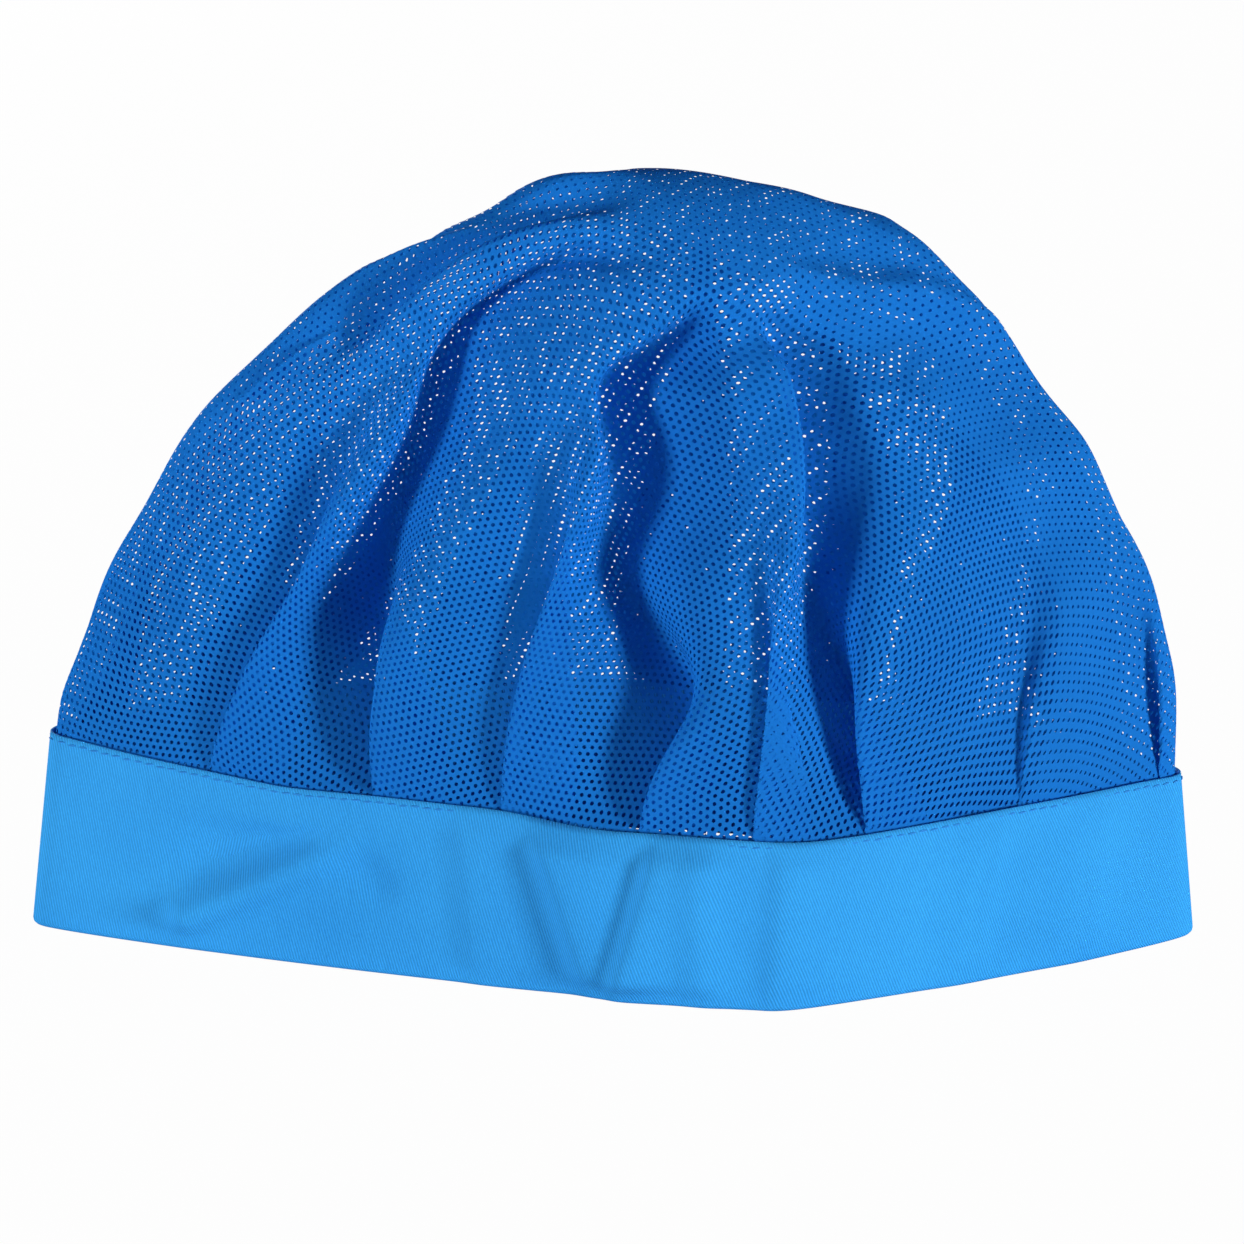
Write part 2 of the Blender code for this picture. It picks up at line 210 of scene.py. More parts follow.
# %% Upper edge of the band
SEAM_IN_PICTURE = ((54, 734), (145, 758), (209, 772), (284, 788), (370, 796), (504, 811), (581, 829),
                   (635, 833), (720, 840), (749, 841), (813, 843), (869, 835), (1008, 809), (1144, 782),
                   (1172, 777))
EDGE_POINTS = 600
MILLIMETRE = 0.001
REAR_MARGIN = 0.03           # share of the way round that the rear's wave keeps from each side fold
REAR_WAVE = 0.0006
REAR_WAVE_TURN = 60          # radians of that wave in one way round
REAR_SPOTS = 9
WOBBLE_REACH = 25            # points of the plan over which the edge is softened


def level_edge(share):
    """Return the height of the upper edge before its small ups and downs."""
    return BAND_HEIGHT + LEFT_RISE * np.maximum(0.0, -plan_xy(share)[0])


def seam_wobble():
    """Return shares and small heights that bring the front of the edge to where the picture has it."""
    shares = np.linspace(0, FRONT_SHARE, EDGE_POINTS)
    shown = in_picture(plan_point(shares, level_edge(shares)) + plan_normal(shares) * WALL)
    higher = in_picture(plan_point(shares, level_edge(shares) + MILLIMETRE) + plan_normal(shares) * WALL)
    spots = np.array(SEAM_IN_PICTURE, float)
    rise = np.interp(spots[:, 0], shown[:, 0], shown[:, 1]) - spots[:, 1]
    per_mm = np.interp(spots[:, 0], shown[:, 0], (shown - higher)[:, 1])
    front = np.interp(spots[:, 0], shown[:, 0], shares)
    rear = np.linspace(FRONT_SHARE + REAR_MARGIN, 1 - REAR_MARGIN, REAR_SPOTS)
    heights = np.concatenate((MILLIMETRE * rise / per_mm, REAR_WAVE * np.sin(REAR_WAVE_TURN * rear)))
    return np.concatenate((front, rear)), heights


WOBBLE_SHARES, WOBBLE_HEIGHTS = seam_wobble()
fine_shares = np.linspace(0, 1, PLAN_POINTS, endpoint=False)
WOBBLE = soften_ring(np.interp(fine_shares, WOBBLE_SHARES, WOBBLE_HEIGHTS, period=1), WOBBLE_REACH)


def upper_edge(share):
    """Return the height of the band's upper edge at shares of the way round."""
    return level_edge(share) + np.interp(share % 1, fine_shares, WOBBLE, period=1)


print("upper edge between", (1000 * upper_edge(fine_shares)).round(1).min(), "and",
      (1000 * upper_edge(fine_shares)).round(1).max(), "mm")

# %% [markdown]
# ## The dome under the folds
# Without its pleats the crown would be a leaning dome. Every point of it has two numbers: the share of the
# way round, and the way up from the band to the place where the folds run together, a little right of the
# middle and in front of the top. A UV sphere pulled into shape would do for a plain dome, but the folds
# that come next need both numbers at every point. Numpy works on whole tables of such points at once.

# %% Smooth dome
CROWN_TOP = 0.1675
TOP_SHIFT = 0.0022           # how far right of the middle the top lies
DOME_POWER = 1.80            # a power of 2 makes a round dome, and a smaller one a more pointed dome
DOME_POWER_SKEW = 0.16       # taken off that power at the left and added at the right
FOLD_CENTRE = complex(0.15, -0.27)    # where the folds meet, on a circle of radius 1 seen from above
NET_THICKNESS = 0.0008


def dome_point(share, way):
    """Return points of the smooth dome."""
    rim = np.exp(1j * math.pi * (1 + 2 * share))
    spot = (1 - way) * rim + way ** 2 * FOLD_CENTRE
    round_share = (np.angle(spot) / (2 * math.pi) + 0.5) % 1
    rise = (1 - np.minimum(np.abs(spot), 1)) * math.pi / 2
    power = DOME_POWER - DOME_POWER_SKEW * np.cos(2 * math.pi * round_share)
    shrink = np.cos(rise) ** (2 / power)
    lift = np.sin(rise) ** (2 / power)
    low = upper_edge(round_share) + NET_THICKNESS / 2
    foot = plan_point(round_share, low)
    x = foot[..., 0] * shrink + TOP_SHIFT * lift
    y = SIDE_FOLD_Y * (1 - lift) + (foot[..., 1] - SIDE_FOLD_Y) * shrink
    return np.stack((x, y, low + (CROWN_TOP - low) * lift), axis=-1)


def dome_normal(share, way):
    """Return the directions that point out of the smooth dome."""
    step = 5e-4
    way = np.clip(way, step, 1 - 3 * step)
    along = dome_point(share + step, way) - dome_point(share - step, way)
    upward = dome_point(share, way + step) - dome_point(share, way - step)
    out = np.cross(along, upward)
    return out / np.maximum(np.linalg.norm(out, axis=-1, keepdims=True), 1e-12)


SHARE_POINTS = 2400
WAY_POINTS = 181
table_shares = np.linspace(0, 1, SHARE_POINTS, endpoint=False)[None, :]
table_ways = np.linspace(0, 1, WAY_POINTS)[:, None]
smooth_dome = dome_point(table_shares, table_ways)
ring_steps = np.linalg.norm(np.roll(smooth_dome, -1, axis=1) - smooth_dome, axis=2)
RING_LENGTHS = ring_steps.sum(axis=1)
ring_places = np.cumsum(ring_steps, axis=1) - ring_steps
print("dome rises to", (smooth_dome[..., 2].max() * 1000).round(1), "mm")

# %% [markdown]
# ## Where the folds lie
# A pleat shows as a dark valley between two panels of net. Each valley, and each smaller crease higher up, is
# a line that is followed in the picture from the band upwards. Its points are looked up on the dome, by
# searching the table for the place that shows at that pixel. A cloth simulation would also give folds, but
# not these ones in these places.

# %% Fold lines followed in the picture
SEAM_LAP = 0.0215
# A valley has its depth, the share of it that is kept at the top, its lap at the seam, its lap higher up as a
# share of its depth, the widths of its left and right sides, and its path. A lap above zero lays the right
# panel over the valley, and one below zero lays the left panel over it.
FRONT_VALLEYS = (
    (0.0095, 0.40, SEAM_LAP, 0.35, 0.0085, 0.0050,
     ((213, 760), (227, 728), (262, 648), (289, 594), (308, 541), (318, 487), (345, 434), (372, 380))),
    (0.0200, 0.38, SEAM_LAP, -0.75, 0.0034, 0.0070,
     ((375, 785), (366, 690), (358, 600), (366, 540), (387, 470), (408, 404), (424, 345), (450, 312),
      (527, 268), (582, 248))),
    (0.0075, 0.40, SEAM_LAP, 0.35, 0.0070, 0.0045,
     ((502, 805), (520, 700), (545, 600), (556, 520), (560, 450))),
    (0.0210, 0.40, SEAM_LAP, -0.75, 0.0034, 0.0110,
     ((637, 820), (652, 700), (625, 640), (592, 582), (598, 500), (596, 454), (588, 427), (580, 393),
      (590, 362), (630, 343), (671, 318), (704, 285))),
    (0.0065, 0.40, 0.0200, 0.20, 0.0110, 0.0075,
     ((750, 825), (754, 740), (757, 650), (757, 560), (752, 470), (745, 400))),
    (0.0165, 0.40, SEAM_LAP, -0.65, 0.0034, 0.0070,
     ((868, 825), (850, 700), (836, 600), (826, 500), (816, 460), (806, 400), (792, 343), (770, 300))),
    (0.0050, 0.40, 0.0040, 0.20, 0.0120, 0.0100,
     ((1008, 800), (1013, 730), (1028, 630), (1038, 550), (1026, 460))),
    (0.0085, 0.40, 0.0090, 0.20, 0.0100, 0.0070,
     ((1146, 772), (1142, 700), (1128, 620), (1110, 560))),
)
# A crease has its depth, its lap as a share of that, the widths of its left and right sides, and its path. A
# depth below zero makes a ridge.
UPPER_CREASES = (
    (0.0048, 0.6, 0.0030, 0.0025,
     ((335, 342), (385, 298), (432, 258), (497, 222), (554, 206), (610, 202), (666, 204))),
    (-0.0012, 0.0, 0.0060, 0.0050,
     ((150, 490), (220, 395), (300, 320))),
    (-0.0060, 0.0, 0.0060, 0.0050,
     ((395, 252), (430, 232), (462, 216), (500, 199))),
    (-0.0055, 0.0, 0.0030, 0.0080,
     ((380, 330), (416, 296), (449, 278), (499, 246), (543, 230), (582, 225), (627, 222))),
    (-0.0055, 0.0, 0.0035, 0.0060,
     ((482, 350), (554, 300), (582, 289), (627, 282), (671, 276), (704, 264))),
    (-0.0015, 0.0, 0.0090, 0.0090,
     ((1090, 700), (1070, 560), (1055, 480))),
    (0.0025, 0.0, 0.0060, 0.0060,
     ((880, 285), (832, 246), (795, 238))),
    (-0.0036, 0.0, 0.0120, 0.0120,
     ((950, 275), (930, 252), (890, 227), (850, 210))),
    (-0.0032, 0.0, 0.0100, 0.0100,
     ((985, 325), (960, 290), (938, 264))),
    (0.0018, 0.0, 0.0150, 0.0150,
     ((60, 690), (78, 640), (94, 600), (127, 540))),
    (0.0016, 0.0, 0.0110, 0.0110,
     ((1075, 430), (1050, 396), (1030, 370))),
)
dome_in_picture = in_picture(smooth_dome)
to_camera = np.array(CAMERA_PLACE) - smooth_dome
faces_camera = np.sum(dome_normal(table_shares, table_ways) * to_camera, axis=2) > 0
LINE_SOFTNESS = 5.0          # rows of the table over which a line is softened
LINE_SPAN = 16


def on_dome(spots):
    """Return the shares and ways up of the dome's points that show at spots of the picture."""
    found = []
    for across, down in spots:
        miss = np.hypot(dome_in_picture[..., 0] - across, dome_in_picture[..., 1] - down)
        row, column = np.unravel_index(np.argmin(np.where(faces_camera, miss, 1e6)), miss.shape)
        found.append((table_shares[0, column], table_ways[row, 0]))
    return np.array(sorted(found, key=lambda spot: spot[1]))


def line_on_dome(spots):
    """Return a smooth line's share at every way up, with the ways between which it was followed."""
    found = on_dome(spots)
    shares = np.unwrap(found[:, 0], period=1)
    line = np.interp(table_ways[:, 0], found[:, 1], shares)
    padded = np.pad(line, LINE_SPAN, mode="edge")
    return np.convolve(padded, soft_weights(LINE_SOFTNESS, LINE_SPAN), "valid"), found[0, 1], found[-1, 1]


print("first valley starts and ends at", on_dome(FRONT_VALLEYS[0][6])[[0, -1]].round(3).tolist())

# %% [markdown]
# ## Pleats at the rear
# The picture doesn't show the rear of the crown. It is pleated like the front, so eight valleys run up it
# at nearly even spacing. A loop makes them. The sines in it only make each pleat differ a little from the
# next, and they give the same pleats every time, which random numbers without a seed would not.

# %% Rear valleys
REAR_PLEATS = 8
REAR_START = 0.55            # share of a pleat's spacing between the right fold and the first pleat
REAR_STEP_CHANGE = 0.16
REAR_SWAY = 0.012
REAR_DEPTH = 0.0105
REAR_DEPTH_CHANGE = 0.0035
REAR_END = 0.62              # way up at which a valley fades
REAR_END_CHANGE = 0.12
REAR_SHAPE = (0.5, SEAM_LAP, 1.3, 0.0085, 0.0036)    # share kept, lap at the seam, lap above it, widths
rear_valleys = []
for pleat in range(REAR_PLEATS):
    place = (pleat + REAR_START + REAR_STEP_CHANGE * math.sin(5.3 * pleat)) / REAR_PLEATS
    foot_share = FRONT_SHARE + (1 - FRONT_SHARE) * place
    sway = REAR_SWAY * np.sin(7 * table_ways[:, 0] + 1.7 * pleat) * (1 - table_ways[:, 0])
    depth = REAR_DEPTH + REAR_DEPTH_CHANGE * math.sin(2.6 * pleat + 0.4)
    end = REAR_END + REAR_END_CHANGE * math.sin(3.1 * pleat)
    rear_valleys.append((depth, *REAR_SHAPE, end, foot_share + sway))
print(len(rear_valleys), "rear valleys,", round(min(v[0] for v in rear_valleys) * 1000, 1), "mm deep or more")

# %% [markdown]
# ## Folding the crown
# A valley is pushed inwards, and its points are also slid sideways under the panel beside it. Because one
# curve sets both the depth and the slide, a fold by itself never crosses its own cloth, however far it laps.
# At the seam the valleys are shut flat and lap most, and they open within a couple of centimetres. Pushing
# alone would be simpler, but it makes dents and not pleats with an edge.

# %% Folded crown as a table of points
SEAM_STEEP_SIDE = 0.0020
SEAM_GENTLE_SIDE = 0.0080
SEAM_DEPTH = 0.0005
SEAM_LEAD = 0.32             # share of its lap by which a valley starts left of its line at the seam
OPENING_WAY = 0.075          # way up in which a valley opens
LAP_WAY = 0.30               # way up in which the lap of the seam is lost
TAPER_START = 0.3            # way up from which a valley grows shallower
LEAST_TAPER = 0.1
FADE_WAY = 0.14
LONG_FADE = FADE_WAY / 5
SHORT_FADE = FADE_WAY / 2.5
CREASE_START_FADE = FADE_WAY / 8
SHORT_FOLD_END = 0.4         # a fold that ends lower than this fades more slowly
NARROW_SPACE = 0.010         # nearer than this to the line between the side folds, valleys are shallower
CALM_END = 0.91              # way up at which all folds have ended
CALM_WAY = 0.20
SOFT_WAVES = ((0.0005, 61, 9), (0.0004, -23, 37))    # height, radians round the crown, radians up it
SOFT_WAVE_RISE = 8
SOFT_WAVE_FALL = 2.2
ways = table_ways[:, 0]
closed_shares = np.append(table_shares[0], 1.0)


def fade_at(end):
    """Return a soft step from 1 to 0 just above the end of a fold."""
    softness = LONG_FADE if end > SHORT_FOLD_END else SHORT_FADE
    return 1 / (1 + np.exp((ways - end - FADE_WAY / 2) / softness))


def valley_course(depth, kept, seam_lap, over, left, right, end):
    """Return a valley's depth, lap, lead and left and right widths at every way up."""
    fade = fade_at(end)
    spread = 1 - np.exp(-(ways / LAP_WAY) ** 2)
    taper = np.clip((ways - TAPER_START) / max(end - TAPER_START, LEAST_TAPER), 0, 1)
    held = (1 - np.exp(-ways / OPENING_WAY)) * fade * (1 - (1 - kept) * taper)
    lap = seam_lap * (1 - spread) * fade + over * depth * held * (1 if over > 0 else spread)
    lead = lap * (SEAM_LEAD + (1 - SEAM_LEAD) * spread)
    gentle = SEAM_GENTLE_SIDE + (left - SEAM_GENTLE_SIDE) * spread
    steep = SEAM_STEEP_SIDE + (right - SEAM_STEEP_SIDE) * spread
    return SEAM_DEPTH + (depth - SEAM_DEPTH) * held, lap, lead, gentle, steep


def crease_course(depth, over, left, right, start, end):
    """Return the same five values for a crease, which starts above the seam."""
    fade = fade_at(end) / (1 + np.exp((start - ways) / CREASE_START_FADE))
    return depth * fade, over * depth * fade, 0 * ways, left + 0 * ways, right + 0 * ways


def add_fold(push, slide, line, course, room):
    """Add one fold to the tables of how far points are pushed inwards and slid along their rings."""
    sink, lap, lead, gentle, steep = (values[:, None] for values in course)
    middle = [np.interp(spot % 1, closed_shares, np.append(places, length))
              for spot, places, length in zip(line, ring_places, RING_LENGTHS)]
    ring = RING_LENGTHS[:, None]
    away = ring_places - (np.array(middle)[:, None] - lead)
    away = (away + ring / 2) % np.maximum(ring, 1e-6) - ring / 2
    bump = np.exp(-0.5 * (away / np.where(away < 0, gentle, steep)) ** 2)
    push += sink * bump * room
    slide += lap * bump


def fold_fields():
    """Return how far each point of the table is pushed inwards and slid along its ring."""
    push = np.zeros((WAY_POINTS, SHARE_POINTS))
    slide = np.zeros((WAY_POINTS, SHARE_POINTS))
    space = np.abs(plan_xy(table_shares)[1]) * DEPTH_FRONT
    room = 1 - np.exp(-(space / NARROW_SPACE) ** 2)
    front_valleys = []
    for *numbers, path in FRONT_VALLEYS:
        line, start, end = line_on_dome(path)
        front_valleys.append((*numbers, end, line))
    for *numbers, line in front_valleys + rear_valleys:
        add_fold(push, slide, line, valley_course(*numbers), room)
    for *numbers, path in UPPER_CREASES:
        line, start, end = line_on_dome(path)
        add_fold(push, slide, line, crease_course(*numbers, start, end), 1)
    calm = np.clip((CALM_END - table_ways) / CALM_WAY, 0, 1)
    calm = calm ** 2 * (3 - 2 * calm)
    return push * calm, slide * calm


push, slide = fold_fields()
soft_share = np.minimum(1, SOFT_WAVE_RISE * table_ways) * np.clip(2 - SOFT_WAVE_FALL * table_ways, 0, 1)
for height, round_turn, up_turn in SOFT_WAVES:
    push += height * np.sin(round_turn * table_shares + up_turn * table_ways) * soft_share
two_turns = np.concatenate((table_shares[0], 1 + table_shares[0]))
slid_shares = np.array([
    np.interp(places + moved, np.concatenate((places, places + length)), two_turns)
    for places, moved, length in zip(ring_places, slide, RING_LENGTHS)])
slid_shares[-1] = table_shares[0]
folded = dome_point(slid_shares, table_ways) - dome_normal(slid_shares, table_ways) * push[..., None]

SEAM_ALLOWANCE = 0.0075
SKIRT_ROWS = 6
skirt_shares = slid_shares[0]
skirt, plain_skirt = [], []
for sunk in np.linspace(SEAM_ALLOWANCE, 0, SKIRT_ROWS, endpoint=False):
    level = plan_point(skirt_shares, upper_edge(skirt_shares) - sunk)
    skirt.append(level - plan_normal(skirt_shares) * (push[0] - SEAM_DEPTH / 2)[:, None])
    plain_skirt.append(plan_point(table_shares[0], upper_edge(table_shares[0]) - sunk))
crown_rows = np.concatenate((np.array(skirt), folded), axis=0)
plain_rows = np.concatenate((np.array(plain_skirt), smooth_dome), axis=0)
print("crown from", (1000 * crown_rows.min(axis=(0, 1))).round(), "to",
      (1000 * crown_rows.max(axis=(0, 1))).round(), "mm")

# %% [markdown]
# ## From flat cloth to folded crown
# The net was one flat, roughly round piece before it was sewn. A flat point has a distance from the middle
# and a direction. The direction picks a place along the ring by its true length, through all the folds,
# and the distance picks the ring. So the net's holes keep their size and spacing wherever the cloth goes.

# %% Table that carries flat cloth onto the crown
TURN_POINTS = 2400
RADIUS_POINTS = 300
RIGHT_FOLD = round(FRONT_SHARE * SHARE_POINTS)
FRONT_TURN = 0.56            # share of the flat cloth's round that goes to the front
STRETCH_SHARE = 0.6          # how far the net stretches into a valley rather than being fuller there
STRETCH_START = 0.05
STRETCH_WAY = 0.25


def turned_ring(ring, plain, far, way):
    """Return how far round the flat cloth each point of a ring lies, in turns, and the front's fullness."""
    steps = np.linalg.norm(np.diff(ring, axis=0), axis=1)
    even = STRETCH_SHARE * np.clip((way - STRETCH_START) / STRETCH_WAY, 0, 1)
    steps = (1 - even) * steps + even * np.linalg.norm(np.diff(plain, axis=0), axis=1)
    turns = steps / np.maximum((far[1:] + far[:-1]) / 2, 1e-6) + 1e-9
    turned = np.concatenate(([0.0], np.cumsum(turns))) / (2 * math.pi)
    at_fold = turned[RIGHT_FOLD]
    front = turned * FRONT_TURN / at_fold
    rear = FRONT_TURN + (turned - at_fold) * (1 - FRONT_TURN) / (turned[-1] - at_fold)
    fullness = (at_fold / FRONT_TURN, (turned[-1] - at_fold) / (1 - FRONT_TURN))
    return np.where(np.arange(len(turned)) < RIGHT_FOLD, front, rear), fullness


def cloth_table():
    """Return points by distance from the middle and by direction, and the cloth's edge by direction."""
    rings, plain = crown_rows[::-1], plain_rows[::-1]
    gaps = np.linalg.norm(np.diff(plain, axis=0), axis=2)
    distance = np.vstack((np.zeros((1, SHARE_POINTS)), np.cumsum(gaps, axis=0)))
    even = np.linspace(0, 1, TURN_POINTS, endpoint=False)
    points, reach, full = [], [], []
    ways = np.concatenate((np.zeros(SKIRT_ROWS), table_ways[:, 0]))[::-1]
    for ring, smooth, far, way in zip(rings, plain, distance, ways):
        closed, smooth = np.vstack((ring, ring[:1])), np.vstack((smooth, smooth[:1]))
        far = np.append(far, far[0])
        turned, ratio = turned_ring(closed, smooth, far, way)
        full.append(ratio)
        points.append(np.stack([np.interp(even, turned, closed[:, axis]) for axis in range(3)], axis=1))
        reach.append(np.interp(even, turned, far))
    points, reach = np.array(points), np.array(reach)
    for name, part in zip(("front", "rear"), np.array(full)[::-1].T):
        print("folded length over flat length,", name, part[SKIRT_ROWS::15].round(2).tolist())
    radii = np.linspace(0, reach[-1].max(), RADIUS_POINTS)
    table = np.empty((RADIUS_POINTS, TURN_POINTS, 3))
    for turn in range(TURN_POINTS):
        for axis in range(3):
            table[:, turn, axis] = np.interp(radii, reach[:, turn], points[:, turn, axis])
    return table, radii, reach[-1]


cloth_points, cloth_radii, cloth_edge = cloth_table()


def turn_of(flat):
    """Return the share of the way round of flat points."""
    return (np.arctan2(flat[:, 1], flat[:, 0]) / (2 * math.pi) + 0.5) % 1


def onto_crown(flat):
    """Return where flat points of the cloth lie on the folded crown."""
    row = np.clip(np.hypot(flat[:, 0], flat[:, 1]) / cloth_radii[1], 0, RADIUS_POINTS - 1.001)
    column = turn_of(flat) * TURN_POINTS
    row_low, column_low = row.astype(int), column.astype(int) % TURN_POINTS
    row_part, column_part = (row - row_low)[:, None], (column - column.astype(int))[:, None]
    column_high = (column_low + 1) % TURN_POINTS
    lower, upper = (
        cloth_points[rows, column_low] * (1 - column_part) + cloth_points[rows, column_high] * column_part
        for rows in (row_low, row_low + 1))
    return lower * (1 - row_part) + upper * row_part


widths = [round(2000 * reach) for reach in (cloth_edge.min(), cloth_edge.max())]
print("flat cloth between", widths[0], "and", widths[1], "mm across")

# %% [markdown]
# ## The net
# The knit is a honeycomb of small round holes. A grid with every second row set over by half a hole and cut
# into triangles has its corners where the holes go, and bevelling the corners opens a six-sided face at
# each. Those faces are deleted, so the holes are real and light passes through them.

# %% Flat net with its holes
HOLE_PITCH = 0.00170
HOLE_RADIUS = 0.00046
DRAWN_IN_RADIUS = 0.00033     # holes of the rear, which the elastic draws together


def flat_net():
    """Return a bmesh of the flat net, cut to the cloth's edge."""
    mesh = bmesh.new()
    row_pitch = HOLE_PITCH * math.sqrt(3) / 2
    across = 2 * int(cloth_edge.max() / HOLE_PITCH + 2)
    down = 2 * int(cloth_edge.max() / row_pitch + 2)
    bmesh.ops.create_grid(mesh, x_segments=across, y_segments=down, size=0.5)
    for corner in mesh.verts:
        column, row = round((corner.co.x + 0.5) * across), round((corner.co.y + 0.5) * down)
        x = (column - across / 2 + 0.5 * (row % 2)) * HOLE_PITCH
        corner.co = (x, (row - down / 2) * row_pitch, 0)
    bmesh.ops.triangulate(mesh, faces=mesh.faces, quad_method="SHORT_EDGE")
    flat = np.array([corner.co.xy for corner in mesh.verts])
    edge = np.interp(turn_of(flat), np.arange(TURN_POINTS) / TURN_POINTS, cloth_edge, period=1)
    outside = np.hypot(flat[:, 0], flat[:, 1]) > edge
    bmesh.ops.delete(mesh, geom=[v for v, out in zip(mesh.verts[:], outside) if out], context="VERTS")
    front = [corner for corner in mesh.verts if corner.co.y < 0]
    rear = [corner for corner in mesh.verts if corner.co.y >= 0]
    for corners, radius in ((front, HOLE_RADIUS), (rear, DRAWN_IN_RADIUS)):
        made = bmesh.ops.bevel(mesh, geom=corners, offset=radius, offset_type="ABSOLUTE",
                               affect="VERTICES", segments=1, profile=0.5, material=-1)
        holes = [face for face in made["faces"] if face.is_valid]
        print(len(holes), "holes")
        bmesh.ops.delete(mesh, geom=holes, context="FACES")
    return mesh


net = flat_net()

# %% [markdown]
# ## Laying the net on the crown
# The net is kept as a front and a rear piece, because one mesh with this many holes would be too heavy.
# Both are cut from the same flat net, along the line between the side folds, and meet without a gap. The
# flat places of the cloth become its UV map, so the knit's pattern can follow the cloth.

# %% Front and rear of the net crown
UV_PER_METRE = 2


def cloth_object(name, mesh):
    """Turn a bmesh into a smooth-shaded object of the scene."""
    data = bpy.data.meshes.new(name)
    mesh.to_mesh(data)
    mesh.free()
    data.shade_smooth()
    item = bpy.data.objects.new(name, data)
    bpy.context.scene.collection.objects.link(item)
    return item


def net_piece(name, keep_front):
    """Return one half of the net, carried from the flat cloth onto the crown, and its cloth area."""
    mesh = net.copy()
    other = [face for face in mesh.faces if (face.calc_center_median().y < 0) != keep_front]
    bmesh.ops.delete(mesh, geom=other, context="FACES")
    area = sum(face.calc_area() for face in mesh.faces)
    layer = mesh.loops.layers.uv.verify()
    for face in mesh.faces:
        for loop in face.loops:
            loop[layer].uv = loop.vert.co.xy * UV_PER_METRE
    item = cloth_object(name, mesh)
    places = np.empty(3 * len(item.data.vertices))
    item.data.vertices.foreach_get("co", places)
    flat = places.reshape(-1, 3)[:, :2]
    item.data.vertices.foreach_set("co", onto_crown(flat).ravel())
    item.data.update()
    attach(item, "root")
    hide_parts("crown_mesh")
    return item


net_front = net_piece("crown_net_front", True)
net_rear = net_piece("crown_net_rear", False)
net.free()

# %% [markdown]
# ## The band
# The band is one strip of twill, folded along its lower edge, with the crown's edge between its two leaves.
# A grid is wrapped round the plan for it, from the outer upper edge down, round the fold and up inside.
# Pressed creases are small ridges and dents that are followed in the picture. Solidify gives the cloth its
# thickness.

# %% Creases of the band
BAND_COLUMNS = 900
GATHERS = 18
ELASTIC_LENGTH = 0.130
ELASTIC_HEIGHT = 0.020
TOE_CALM = 0.006             # height over which a crease grows from the lower fold
TOE_SHARE = 0.35
# A ridge has its height, below zero for a dent, its width and the ends of its line in the picture.
BAND_RIDGES = (
    (-0.0022, 0.0060, (215, 852), (325, 842)),
    (0.0034, 0.0030, (190, 915), (340, 850)),
    (-0.0016, 0.0028, (345, 852), (378, 882)),
    (0.0020, 0.0032, (700, 870), (703, 1009)),
    (0.0016, 0.0045, (985, 830), (960, 970)),
    (0.0015, 0.0055, (1090, 810), (1075, 945)),
)
# A step lifts the cloth right of a line. It has its height, its softness, its reach and the line's ends.
BAND_STEPS = (
    (0.0044, 0.0026, 0.014, (535, 836), (585, 1000)),
    (0.0037, 0.0018, 0.010, (652, 850), (608, 1000)),
    (0.0024, 0.0020, 0.012, (775, 850), (765, 1005)),
    (0.0019, 0.0028, 0.014, (455, 830), (470, 985)),
)
strip_shares = np.linspace(0, FRONT_SHARE, 500)[:, None]
strip_heights = np.linspace(0, 1, 40)[None, :] * upper_edge(strip_shares)
strip = plan_point(strip_shares + 0 * strip_heights, strip_heights) + plan_normal(strip_shares) * WALL
strip_in_picture = in_picture(strip)


def on_band(across, down):
    """Return the share and the height of the band's point that shows at a spot of the picture."""
    miss = np.hypot(strip_in_picture[..., 0] - across, strip_in_picture[..., 1] - down)
    row, column = np.unravel_index(np.argmin(miss), miss.shape)
    return np.array((strip_shares[row, 0] * RIM_LENGTH, strip_heights[row, column]))


def from_line(share, height, start, end):
    """Return how far places of the band lie to the right of a line, and how far from its nearest point."""
    start, end = on_band(*start), on_band(*end)
    run = end - start
    across, up = share * RIM_LENGTH - start[0], height - start[1]
    along = np.clip((across * run[0] + up * run[1]) / (run @ run), 0, 1)
    right = (up * run[0] - across * run[1]) / np.hypot(*run)
    return right, np.hypot(across - along * run[0], up - along * run[1])


def crease_height(share, height):
    """Return how far pressed creases lift the band's cloth at shares and heights."""
    lift = np.zeros(np.broadcast(share, height).shape)
    for amount, width, start, end in BAND_RIDGES:
        lift += amount * np.exp(-0.5 * (from_line(share, height, start, end)[1] / width) ** 2)
    for amount, width, reach, start, end in BAND_STEPS:
        right, away = from_line(share, height, start, end)
        rise = 0.5 + 0.5 * np.tanh(right / width)
        lift += amount * rise * np.exp(-0.5 * (away / reach) ** 2)
    return lift * np.clip(height / TOE_CALM, TOE_SHARE, 1)


def gather_wave(share):
    """Return how far the elastic's gathers push the leaves apart."""
    half = ELASTIC_LENGTH / RIM_LENGTH / 2
    way = (share % 1 - REAR_MIDDLE + half) / (2 * half)
    wave = 0.5 - 0.5 * np.cos(2 * math.pi * GATHERS * (way + 0.012 * np.sin(17 * way)))
    depth = GATHER_DEPTH * (0.75 + 0.25 * np.sin(29 * way))
    ends = np.clip(way * 12, 0, 1) * np.clip((1 - way) * 12, 0, 1)
    return np.where((way > 0) & (way < 1), wave * depth * ends, 0.0)


print(len(BAND_RIDGES) + len(BAND_STEPS), "creases")
print("gathers", round(1000 * gather_wave(fine_shares).max(), 2), "mm deep")

# %% [markdown]
# ## Wrapping the strip
# The band's points are worked out row by row, and a grid is moved onto them. Extruding an outline would
# also make a strip, but the grid brings a UV map along, which the twill's ribs need.

